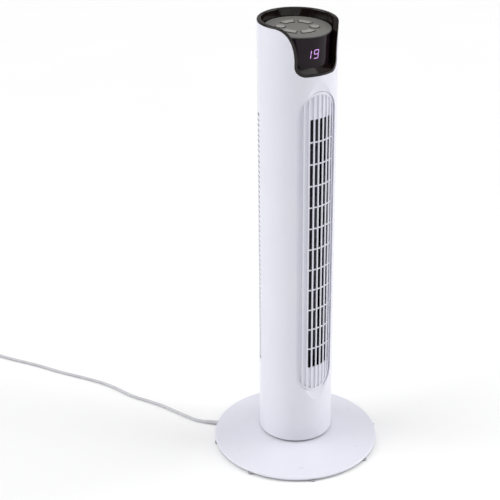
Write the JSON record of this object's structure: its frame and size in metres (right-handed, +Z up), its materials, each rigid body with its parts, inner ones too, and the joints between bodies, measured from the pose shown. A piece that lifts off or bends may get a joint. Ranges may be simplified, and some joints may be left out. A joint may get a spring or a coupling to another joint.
{
  "type": "tower fan",
  "caption": "Slim oscillating tower fan with a round base, ridged front grille, slotted rear intake, hooded control panel and lit display.",
  "frame": {"origin": "on the floor under the centre of the round base", "axes": "+Z up along the tower, -Y towards the grille and display, +X to the right seen from the front"},
  "size_m": [0.6038, 0.7865, 0.7753],
  "materials": {
    "white_shell": "satin white moulded plastic",
    "hood_gloss": "polished near-black plastic",
    "display_smoke": "smoked polished plastic",
    "panel_grey": "satin grey",
    "key_grey": "satin grey",
    "black_plastic": "matt black",
    "lamp_lilac": "lit lilac lamp segments",
    "impeller_plastic": "matt dark grey",
    "steel": "plated",
    "motor_steel": "laminated or painted steel",
    "copper": "enamelled winding wire",
    "bronze": "sintered",
    "nylon": "natural nylon",
    "rubber": "grey rubber",
    "lead_white": "flexible white sheath",
    "board_green": "solder mask",
    "switch_black": "moulded"
  },
  "bodies": {
    "base": {"base_cover": "white_shell", "base_plate": "steel", "base_screws": "steel", "rubber_feet": "rubber", "pivot_post": "nylon", "glide_ring": "nylon", "pivot_washer": "steel", "pivot_nut": "steel", "swing_gear": "nylon", "strain_relief": "lead_white", "power_cord": "lead_white", "cord_coil": "lead_white", "cord_tail": "lead_white", "mains_plug": "lead_white", "plug_pins": "steel"},
    "tower": {"bottom_cap": "black_plastic", "pivot_bush": "nylon", "swing_motor": "motor_steel", "swing_bracket": "nylon", "front_shell": "white_shell", "front_grille": "white_shell", "rear_shell": "white_shell", "shell_screws": "steel", "hood_trim": "hood_gloss", "display_lens": "display_smoke", "pod_frame": "black_plastic", "digit_module": "lamp_lilac", "infrared_receiver": "switch_black", "control_board": "board_green", "key_switches": "switch_black", "control_panel": "panel_grey", "motor_stator": "motor_steel", "lower_winding": "copper", "upper_winding": "copper", "lower_motor_shield": "steel", "upper_motor_shield": "steel", "lower_motor_bush": "bronze", "upper_motor_bush": "bronze", "motor_bracket": "black_plastic", "crown_bracket": "black_plastic", "scroll_guide": "black_plastic", "tongue_guide": "black_plastic", "crown_bush": "bronze", "inner_lead": "lead_white"},
    "impeller": {"impeller": "impeller_plastic", "drive_shaft": "steel", "upper_shaft": "steel", "motor_rotor": "motor_steel"},
    "swing_pinion": {"swing_pinion": "nylon"},
    "swing_key": {"swing_key": "key_grey"},
    "speed_key": {"speed_key": "key_grey"},
    "timer_key": {"timer_key": "key_grey"},
    "mode_key": {"mode_key": "key_grey"},
    "power_key": {"power_key": "key_grey"},
    "display_key": {"display_key": "key_grey"}
  },
  "joints": [
    {"name": "tower_swing", "type": "hinge", "parent": "base", "child": "tower", "pos_m": [0, 0, 0.03], "axis": [0, 0, 1], "range_deg": [-40, 40]},
    {"name": "impeller_spin", "type": "hinge", "parent": "tower", "child": "impeller", "pos_m": [0, 0.004, 0.1], "axis": [0, 0, 1], "continuous": true},
    {"name": "pinion_spin", "type": "hinge", "parent": "tower", "child": "swing_pinion", "pos_m": [0, 0.027, 0.036], "axis": [0, 0, 1], "range_deg": [-81, 81]},
    {"name": "swing_key_press", "type": "slide", "parent": "tower", "child": "swing_key", "axis": [0, 0.0599, -0.9982], "range_m": [0, 0.0008], "stiffness_N_per_m": 600},
    {"name": "speed_key_press", "type": "slide", "parent": "tower", "child": "speed_key", "axis": [0, 0.0599, -0.9982], "range_m": [0, 0.0008], "stiffness_N_per_m": 600},
    {"name": "timer_key_press", "type": "slide", "parent": "tower", "child": "timer_key", "axis": [0, 0.0599, -0.9982], "range_m": [0, 0.0008], "stiffness_N_per_m": 600},
    {"name": "mode_key_press", "type": "slide", "parent": "tower", "child": "mode_key", "axis": [0, 0.0599, -0.9982], "range_m": [0, 0.0008], "stiffness_N_per_m": 600},
    {"name": "power_key_press", "type": "slide", "parent": "tower", "child": "power_key", "axis": [0, 0.0599, -0.9982], "range_m": [0, 0.0008], "stiffness_N_per_m": 600},
    {"name": "display_key_press", "type": "slide", "parent": "tower", "child": "display_key", "axis": [0, 0.0599, -0.9982], "range_m": [0, 0.0008], "stiffness_N_per_m": 600}
  ],
  "couplings": [
    {"joint": "pinion_spin", "follows": "tower_swing", "ratio": 2}
  ]
}
